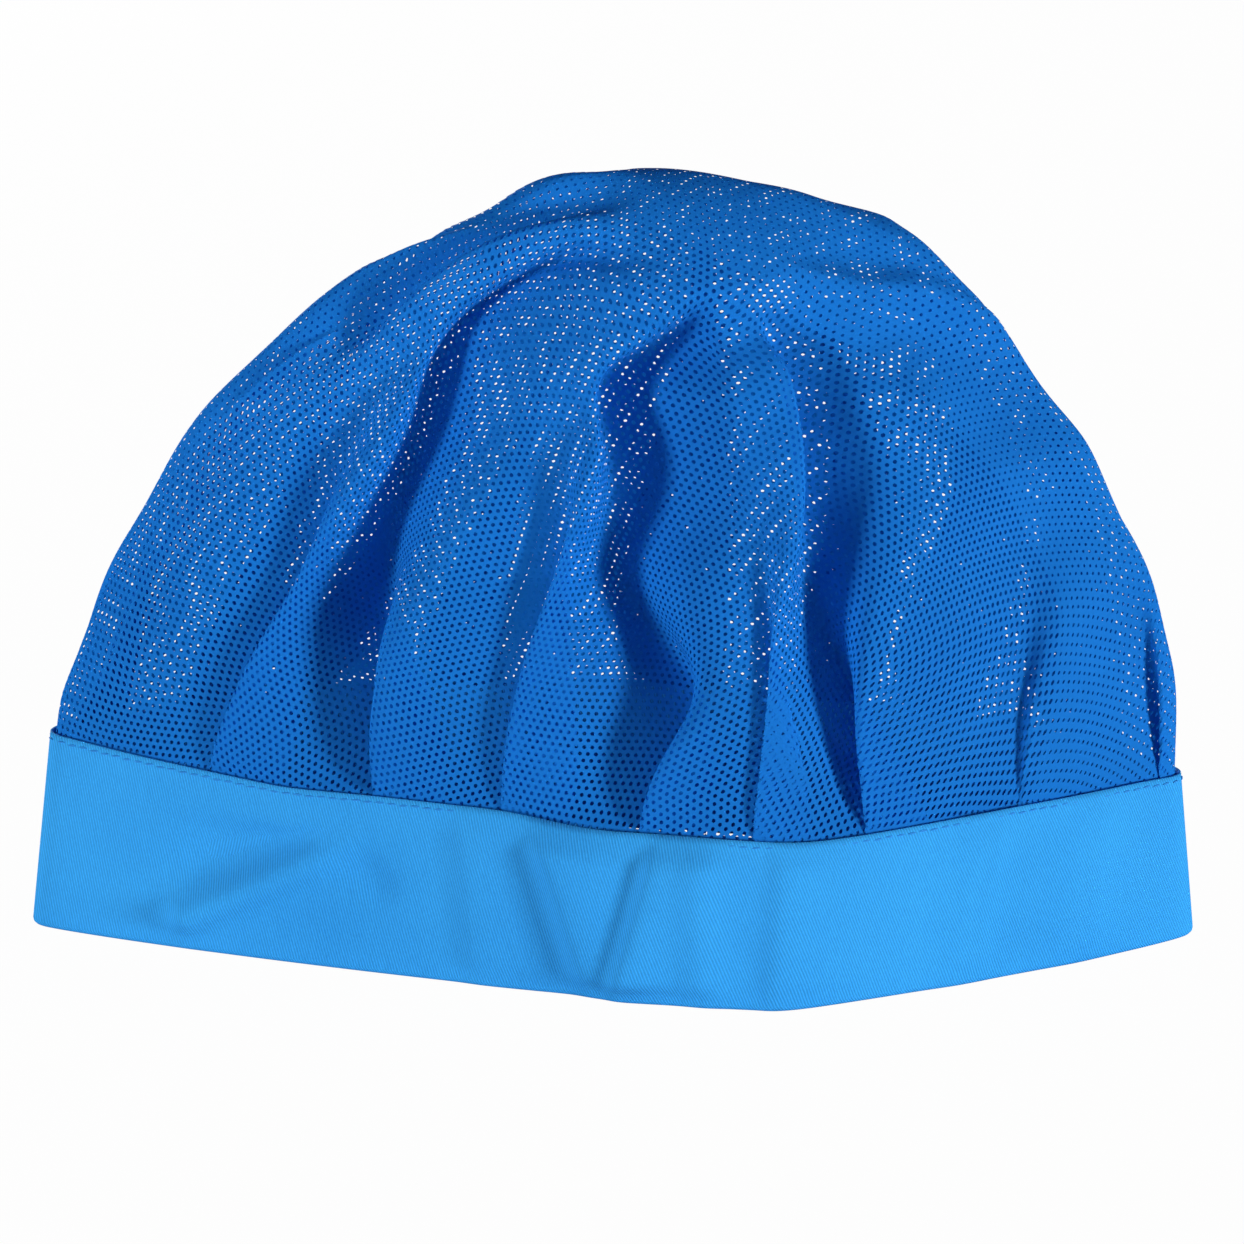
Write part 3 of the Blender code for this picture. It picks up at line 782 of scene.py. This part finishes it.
# %% Folded band
def wrapped_grid(columns, rows, place, closed=True):
    """Return a bmesh grid with a UV map, moved by place(column, row) and closed into a ring if asked."""
    mesh = bmesh.new()
    mesh.loops.layers.uv.verify()
    across = columns if closed else columns - 1
    bmesh.ops.create_grid(mesh, x_segments=across, y_segments=rows - 1, size=0.5, calc_uvs=True)
    for corner in mesh.verts:
        column, row = round((corner.co.x + 0.5) * across), round((corner.co.y + 0.5) * (rows - 1))
        corner.co = place(column % columns, row)
    bmesh.ops.remove_doubles(mesh, verts=mesh.verts, dist=1e-6)
    bmesh.ops.recalc_face_normals(mesh, faces=mesh.faces)
    return mesh


OUTER_ROWS, FOLD_ROWS, INNER_ROWS = 26, 5, 12


def band_table():
    """Return the band's points, row by row, from the outer upper edge round the fold to the inner one."""
    shares = np.linspace(0, 1, BAND_COLUMNS, endpoint=False)
    edge, out, wave = upper_edge(shares), plan_normal(shares), gather_wave(shares)
    toe = LEAF_OFFSET + TWILL_THICKNESS / 2
    rows = []
    for part in np.linspace(1, 0, OUTER_ROWS):
        height = toe + part * (edge - toe)
        dent = np.clip((edge - height - SEAM_ALLOWANCE) / 0.004, 0, 1)
        lift = crease_height(shares, height) * min(1, 6 * (1 - part))
        lift = np.maximum(lift, 0) + np.minimum(lift, 0) * dent + wave * (1 - 0.6 * part ** 4)
        rows.append(plan_point(shares, height) + out * (LEAF_OFFSET + lift)[:, None])
    crease = crease_height(shares, toe + 0 * shares)
    for turn in np.linspace(0, math.pi, FOLD_ROWS + 2)[1:-1]:
        height = toe - LEAF_OFFSET * math.sin(turn)
        side = LEAF_OFFSET * math.cos(turn) + crease * (0.5 + 0.5 * math.cos(turn)) + wave * math.cos(turn)
        rows.append(plan_point(shares, height + 0 * shares) + out * side[:, None])
    for part in np.linspace(0, 1, INNER_ROWS):
        height = toe + part * (edge - toe)
        rows.append(plan_point(shares, height) - out * (LEAF_OFFSET + wave * (1 - 0.6 * part ** 4))[:, None])
    return np.array(rows)


band_points = band_table()
band = cloth_object("twill_band", wrapped_grid(
    BAND_COLUMNS, len(band_points), lambda column, row: band_points[len(band_points) - 1 - row, column]))
thickness = band.modifiers.new("cloth thickness", "SOLIDIFY")
thickness.thickness = TWILL_THICKNESS
thickness.offset = 0
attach(band, "root")
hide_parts("band_strip")
BAND_STRIP = 2 * BAND_HEIGHT + LEFT_RISE

# %% [markdown]
# ## Stitches
# One row of lockstitch holds the crown between the leaves, just under the band's upper edge. Every stitch
# is a short, fat spindle half sunk into the twill. A sphere of few faces, drawn out and turned along the
# band, is enough, because there are some two hundred of them.

# %% Topstitching
STITCH_PITCH = 0.0026
STITCH_LENGTH = 0.0019
THREAD_RADIUS = 0.00024
STITCH_INSET = 0.0012


def add_stitch(mesh, place, along, out, length, radius):
    """Add one stitch to a bmesh, lying along one direction and standing out in another."""
    along, out = Vector(along).normalized(), Vector(out).normalized()
    axes = Matrix((along, out.cross(along), out)).transposed().to_4x4()
    size = Matrix.Diagonal((length / 2, radius, radius, 1))
    lying = Matrix.Rotation(math.pi / 2, 4, "Y")
    bmesh.ops.create_uvsphere(mesh, u_segments=6, v_segments=5, radius=1,
                              matrix=Matrix.Translation(place) @ axes @ size @ lying)


def topstitching():
    """Return a bmesh of the stitches round the band."""
    mesh = bmesh.new()
    count = round(RIM_LENGTH / STITCH_PITCH)
    shares = (np.arange(count) + 0.5) / count
    heights = upper_edge(shares) - STITCH_INSET + 0.00008 * np.sin(2.4 * np.arange(count))
    out = plan_normal(shares)
    stand = WALL + 0.00006 + gather_wave(shares) * 0.4
    places = plan_point(shares, heights) + out * stand[:, None]
    ahead = plan_point(shares + 1e-3, heights) - plan_point(shares - 1e-3, heights)
    for place, along, normal, turn in zip(places, ahead, out, 0.05 * np.sin(3.7 * np.arange(count))):
        along = Vector(along).normalized() + Vector((0, 0, 0.06 + turn))
        add_stitch(mesh, place, along, normal, STITCH_LENGTH, THREAD_RADIUS)
    return mesh


stitches = cloth_object("topstitch_row", topstitching())
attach(stitches, "root")
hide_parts("topstitch_thread")
print(round(RIM_LENGTH / STITCH_PITCH), "stitches")

# %% [markdown]
# ## Elastic and its tacks
# Inside the rear of the band lies a flat woven elastic, which can't be seen from outside. Its ribs are
# narrow waves of a grid. At each end a tack holds it: a close zigzag of thread through all the layers,
# which shows on the outside as a short upright bar.

# %% Rear elastic
ELASTIC_THICKNESS = 0.0006
ELASTIC_MIDDLE = 0.0146
ELASTIC_RIBS = 8
ELASTIC_STEPS = 160
RIB_HEIGHT = 0.00006


def elastic_place(column, row):
    """Return a point of the elastic by column along it and row up it."""
    share = REAR_MIDDLE + (column / ELASTIC_STEPS - 0.5) * ELASTIC_LENGTH / RIM_LENGTH
    up = row / (ELASTIC_RIBS * 4)
    height = ELASTIC_MIDDLE + (up - 0.5) * ELASTIC_HEIGHT
    rib = RIB_HEIGHT * math.cos(2 * math.pi * ELASTIC_RIBS * up)
    share = np.array([share])
    return plan_point(share, np.array([height]))[0] + plan_normal(share)[0] * rib


elastic = cloth_object("rear_elastic_web", wrapped_grid(
    ELASTIC_STEPS + 1, ELASTIC_RIBS * 4 + 1, elastic_place, closed=False))
web = elastic.modifiers.new("web thickness", "SOLIDIFY")
web.thickness = ELASTIC_THICKNESS
web.offset = 0
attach(elastic, "root")
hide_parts("rear_elastic")
print("elastic of", ELASTIC_RIBS, "ribs")

# %% [markdown]
# ## Tacks
# A tack is a few dozen stitches side by side, so the function that made the topstitching makes it too.

# %% Tacks at the ends of the elastic
TACK_STITCHES = 24
TACK_WIDTH = 0.0018
TACK_STAND = 0.00022
TACK_SLANT = 0.00035
TACK_THREAD_RADIUS = 0.00046


def tack(name, node, share):
    """Make one tack: a close zigzag of stitches up the band."""
    mesh = bmesh.new()
    share = np.array([share])
    out, side = plan_normal(share)[0], np.cross((0, 0, 1), plan_normal(share)[0])
    for stitch in range(TACK_STITCHES):
        height = np.array([ELASTIC_MIDDLE + ((stitch + 0.5) / TACK_STITCHES - 0.5) * ELASTIC_HEIGHT])
        place = plan_point(share, height)[0] + out * (WALL + TACK_STAND)
        slant = TACK_SLANT * (1 if stitch % 2 else -1)
        add_stitch(mesh, place, side * TACK_WIDTH + np.array((0, 0, slant)), out, TACK_WIDTH,
                   TACK_THREAD_RADIUS)
    item = cloth_object(name, mesh)
    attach(item, "root")
    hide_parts(node)
    return item


half_elastic = ELASTIC_LENGTH / RIM_LENGTH / 2
tack_right = tack("tack_zigzag_right", "elastic_tack_right", REAR_MIDDLE - half_elastic)
tack_left = tack("tack_zigzag_left", "elastic_tack_left", REAR_MIDDLE + half_elastic)
print("two tacks of", TACK_STITCHES, "stitches")

# %% [markdown]
# ## Cloth finishes
# All the cloths share one effect: yarn that varies a little in shade, both broadly and from thread to
# thread. It is a node group, so that each material places it with its own colours and scale. The twill
# adds slanting ribs, the net adds loops along its yarn, and both feed a Bump node.

# %% Shared yarn shade
def yarn_shade_group():
    """Make the node group that varies a cloth's colour by broad patches and by fine threads."""
    group = bpy.data.node_groups.new("yarn_shade", "ShaderNodeTree")
    for name, kind in (("Place", "NodeSocketVector"), ("Deep", "NodeSocketColor"),
                       ("Light", "NodeSocketColor"), ("Thread Scale", "NodeSocketFloat"),
                       ("Patch Scale", "NodeSocketFloat")):
        group.interface.new_socket(name, in_out="INPUT", socket_type=kind)
    group.interface.new_socket("Colour", in_out="OUTPUT", socket_type="NodeSocketColor")
    group.interface.new_socket("Fuzz", in_out="OUTPUT", socket_type="NodeSocketFloat")
    nodes, links = group.nodes, group.links
    inside, outside = nodes.new("NodeGroupInput"), nodes.new("NodeGroupOutput")
    thread, patch = nodes.new("ShaderNodeTexNoise"), nodes.new("ShaderNodeTexNoise")
    thread.inputs["Detail"].default_value = 3
    patch.inputs["Detail"].default_value = 2
    blend, mix = nodes.new("ShaderNodeMath"), nodes.new("ShaderNodeMix")
    blend.operation = "MULTIPLY_ADD"
    blend.inputs[1].default_value = 0.45
    mix.data_type = "RGBA"
    links.new(inside.outputs["Place"], thread.inputs["Vector"])
    links.new(inside.outputs["Place"], patch.inputs["Vector"])
    links.new(inside.outputs["Thread Scale"], thread.inputs["Scale"])
    links.new(inside.outputs["Patch Scale"], patch.inputs["Scale"])
    half = nodes.new("ShaderNodeMath")
    half.operation = "MULTIPLY"
    half.inputs[1].default_value = 0.55
    links.new(patch.outputs["Fac"], half.inputs[0])
    links.new(thread.outputs["Fac"], blend.inputs[0])
    links.new(half.outputs["Value"], blend.inputs[2])
    links.new(blend.outputs["Value"], mix.inputs["Factor"])
    links.new(inside.outputs["Deep"], mix.inputs["A"])
    links.new(inside.outputs["Light"], mix.inputs["B"])
    links.new(mix.outputs["Result"], outside.inputs["Colour"])
    links.new(thread.outputs["Fac"], outside.inputs["Fuzz"])
    return group


YARN_SHADE = yarn_shade_group()


def cloth_finish(name, deep, light, thread_scale, patch_scale, roughness, sheen):
    """Return a cloth material with the shared yarn shade, and the nodes that its own pattern joins."""
    material = bpy.data.materials.new(name)
    material.use_nodes = True
    nodes, links = material.node_tree.nodes, material.node_tree.links
    shader = nodes["Principled BSDF"]
    shader.inputs["Roughness"].default_value = roughness
    shader.inputs["Sheen Weight"].default_value = sheen
    shader.inputs["Sheen Roughness"].default_value = 0.5
    shader.inputs["Specular IOR Level"].default_value = 0.12
    place, shade = nodes.new("ShaderNodeTexCoord"), nodes.new("ShaderNodeGroup")
    shade.node_tree = YARN_SHADE
    shade.inputs["Deep"].default_value = (*deep, 1)
    shade.inputs["Light"].default_value = (*light, 1)
    shade.inputs["Thread Scale"].default_value = thread_scale
    shade.inputs["Patch Scale"].default_value = patch_scale
    bump = nodes.new("ShaderNodeBump")
    links.new(place.outputs["Object"], shade.inputs["Place"])
    links.new(shade.outputs["Colour"], shader.inputs["Base Color"])
    links.new(bump.outputs["Normal"], shader.inputs["Normal"])
    return material, place, shade, bump


print("shared effect", YARN_SHADE.name)

# %% [markdown]
# ## The four finishes
# Each finish is the shared shade with its own colours, and a pattern of its own for the Bump node. The
# thin net also lets light through, and the twill has painted shade in its colour between its ribs.

# %% Net, twill, thread and elastic
WAVE_RADIANS = 20            # a Wave texture of scale 1 turns through this in each unit
TWILL_RIB = 0.0006
ELASTIC_ROW = 0.0012


def wave_on_uv(material, place, scale, angle, turns):
    """Add straight ribs across the UV map: its size in metres, a slant and the ribs in each metre."""
    nodes, links = material.node_tree.nodes, material.node_tree.links
    sized, wave = nodes.new("ShaderNodeMapping"), nodes.new("ShaderNodeTexWave")
    sized.inputs["Scale"].default_value = (*scale, 1)
    slant = nodes.new("ShaderNodeMapping")
    slant.inputs["Rotation"].default_value = (0, 0, angle)
    wave.inputs["Scale"].default_value = turns / WAVE_RADIANS * 2 * math.pi
    wave.inputs["Distortion"].default_value = 0.6
    wave.inputs["Detail"].default_value = 1
    wave.inputs["Detail Scale"].default_value = 2
    links.new(place.outputs["UV"], sized.inputs["Vector"])
    links.new(sized.outputs["Vector"], slant.inputs["Vector"])
    links.new(slant.outputs["Vector"], wave.inputs["Vector"])
    return wave


def let_light_through(material, shade, bump, amount):
    """Let a share of the light pass through a thin cloth, in the cloth's own colour."""
    nodes, links = material.node_tree.nodes, material.node_tree.links
    through, mix = nodes.new("ShaderNodeBsdfTranslucent"), nodes.new("ShaderNodeMixShader")
    mix.inputs["Fac"].default_value = amount
    links.new(shade.outputs["Colour"], through.inputs["Color"])
    links.new(bump.outputs["Normal"], through.inputs["Normal"])
    links.new(nodes["Principled BSDF"].outputs["BSDF"], mix.inputs[1])
    links.new(through.outputs["BSDF"], mix.inputs[2])
    links.new(mix.outputs["Shader"], nodes["Material Output"].inputs["Surface"])


def paint_shade_between_ribs(material, shade, ribs, amount):
    """Paint shade into a cloth's colour between its ribs, darkest where the ribs' bump is lowest."""
    nodes, links = material.node_tree.nodes, material.node_tree.links
    # painted shade: the colour is multiplied by the rib wave, which also sets the bump's height
    mix = nodes.new("ShaderNodeMix")
    mix.data_type = "RGBA"
    mix.blend_type = "MULTIPLY"
    mix.inputs["Factor"].default_value = amount
    links.new(shade.outputs["Colour"], mix.inputs["A"])
    links.new(ribs.outputs["Color"], mix.inputs["B"])
    links.new(mix.outputs["Result"], nodes["Principled BSDF"].inputs["Base Color"])


net_finish, place, shade, bump = cloth_finish(
    "blue_knit_net", (0.004, 0.160, 0.585), (0.008, 0.225, 0.740), 2600, 40, 0.85, 0.0)
net_size = (1 / UV_PER_METRE, 1 / UV_PER_METRE)
loops = wave_on_uv(net_finish, place, net_size, 0.0, 1 / (HOLE_PITCH * math.sqrt(3) / 2))
bump.inputs["Strength"].default_value = 0.10
bump.inputs["Distance"].default_value = 0.0002
net_finish.node_tree.links.new(loops.outputs["Fac"], bump.inputs["Height"])
let_light_through(net_finish, shade, bump, 0.3)

twill_finish, place, shade, bump = cloth_finish(
    "blue_cotton_twill", (0.014, 0.235, 0.682), (0.049, 0.453, 0.988), 1800, 22, 0.85, 0.0)
ribs = wave_on_uv(twill_finish, place, (RIM_LENGTH, BAND_STRIP), math.radians(-15), 1 / TWILL_RIB)
bump.inputs["Strength"].default_value = 0.5
bump.inputs["Distance"].default_value = 0.0002
twill_finish.node_tree.links.new(ribs.outputs["Fac"], bump.inputs["Height"])
# painted shade in the twill's colour between its ribs, in the grooves of its bump
paint_shade_between_ribs(twill_finish, shade, ribs, 0.30)

thread_finish, place, shade, bump = cloth_finish(
    "blue_thread", (0.018, 0.190, 0.560), (0.030, 0.260, 0.680), 5000, 60, 0.55, 0.0)
bump.inputs["Strength"].default_value = 0.3
bump.inputs["Distance"].default_value = 0.0001
thread_finish.node_tree.links.new(shade.outputs["Fuzz"], bump.inputs["Height"])

elastic_finish, place, shade, bump = cloth_finish(
    "white_elastic", (0.66, 0.67, 0.69), (0.80, 0.81, 0.82), 1500, 80, 0.7, 0.05)
rows = wave_on_uv(elastic_finish, place, (ELASTIC_LENGTH, ELASTIC_HEIGHT), 0.0, 1 / ELASTIC_ROW)
bump.inputs["Strength"].default_value = 0.5
bump.inputs["Distance"].default_value = 0.0002
elastic_finish.node_tree.links.new(rows.outputs["Fac"], bump.inputs["Height"])

dressed = ((net_front, net_finish), (net_rear, net_finish), (band, twill_finish), (elastic, elastic_finish),
           (stitches, thread_finish), (tack_left, thread_finish), (tack_right, thread_finish))
for item, finish in dressed:
    item.data.materials.clear()
    item.data.materials.append(finish)
print("four cloth finishes on", len(dressed), "pieces")

# %% [markdown]
# ## Floor and light
# The cap stands on a white floor under soft studio light. The floor shows itself white to the camera and
# still takes a shadow, by mixing a plain white surface with a glow that only the camera sees. Two low lamps
# beside the front make the folds read, a third lights the rear, and a dim sky, which only the camera sees as
# white, fills the shadows.

# %% Floor, lamps and sky
FLOOR_GLOW = 0.98
SKY_STRENGTH = 0.10
floor_mesh = bmesh.new()
bmesh.ops.create_grid(floor_mesh, x_segments=8, y_segments=8, size=4)
floor = cloth_object("white_floor", floor_mesh)
floor_finish = bpy.data.materials.new("white_floor")
floor_finish.use_nodes = True
nodes, links = floor_finish.node_tree.nodes, floor_finish.node_tree.links
surface = nodes["Principled BSDF"]
surface.inputs["Base Color"].default_value = (0.6, 0.6, 0.6, 1)
surface.inputs["Roughness"].default_value = 0.9
glow, seen = nodes.new("ShaderNodeEmission"), nodes.new("ShaderNodeLightPath")
mix, share = nodes.new("ShaderNodeMixShader"), nodes.new("ShaderNodeMath")
share.operation = "MULTIPLY"
share.inputs[1].default_value = FLOOR_GLOW
links.new(seen.outputs["Is Camera Ray"], share.inputs[0])
links.new(share.outputs["Value"], mix.inputs["Fac"])
links.new(surface.outputs["BSDF"], mix.inputs[1])
links.new(glow.outputs["Emission"], mix.inputs[2])
links.new(mix.outputs["Shader"], nodes["Material Output"].inputs["Surface"])
floor.data.materials.append(floor_finish)


def lamp(name, place, size, power):
    """Add a square area lamp that shines at the middle of the cap."""
    data = bpy.data.lights.new(name, "AREA")
    data.size = size
    data.energy = power
    item = bpy.data.objects.new(name, data)
    item.location = place
    item.rotation_euler = (Vector((0, 0, 0.08)) - Vector(place)).to_track_quat("-Z", "Y").to_euler()
    bpy.context.scene.collection.objects.link(item)


lamp("right_lamp", (1.25, -0.80, 0.15), 0.3, 24)
lamp("left_lamp", (-1.25, -0.80, 0.15), 0.3, 18)
lamp("rear_lamp", (-0.55, 1.40, 0.22), 0.4, 12)
world = bpy.data.worlds.new("studio_sky")
world.use_nodes = True
nodes, links = world.node_tree.nodes, world.node_tree.links
sky_light, sky_seen = nodes["Background"], nodes.new("ShaderNodeBackground")
sky_light.inputs["Color"].default_value = (1, 1, 1, 1)
sky_light.inputs["Strength"].default_value = SKY_STRENGTH
sky_seen.inputs["Color"].default_value = (1, 1, 1, 1)
seen, mix = nodes.new("ShaderNodeLightPath"), nodes.new("ShaderNodeMixShader")
links.new(seen.outputs["Is Camera Ray"], mix.inputs["Fac"])
links.new(sky_light.outputs["Background"], mix.inputs[1])
links.new(sky_seen.outputs["Background"], mix.inputs[2])
links.new(mix.outputs["Shader"], nodes["World Output"].inputs["Surface"])
bpy.context.scene.world = world
bpy.context.scene.view_settings.view_transform = "Standard"
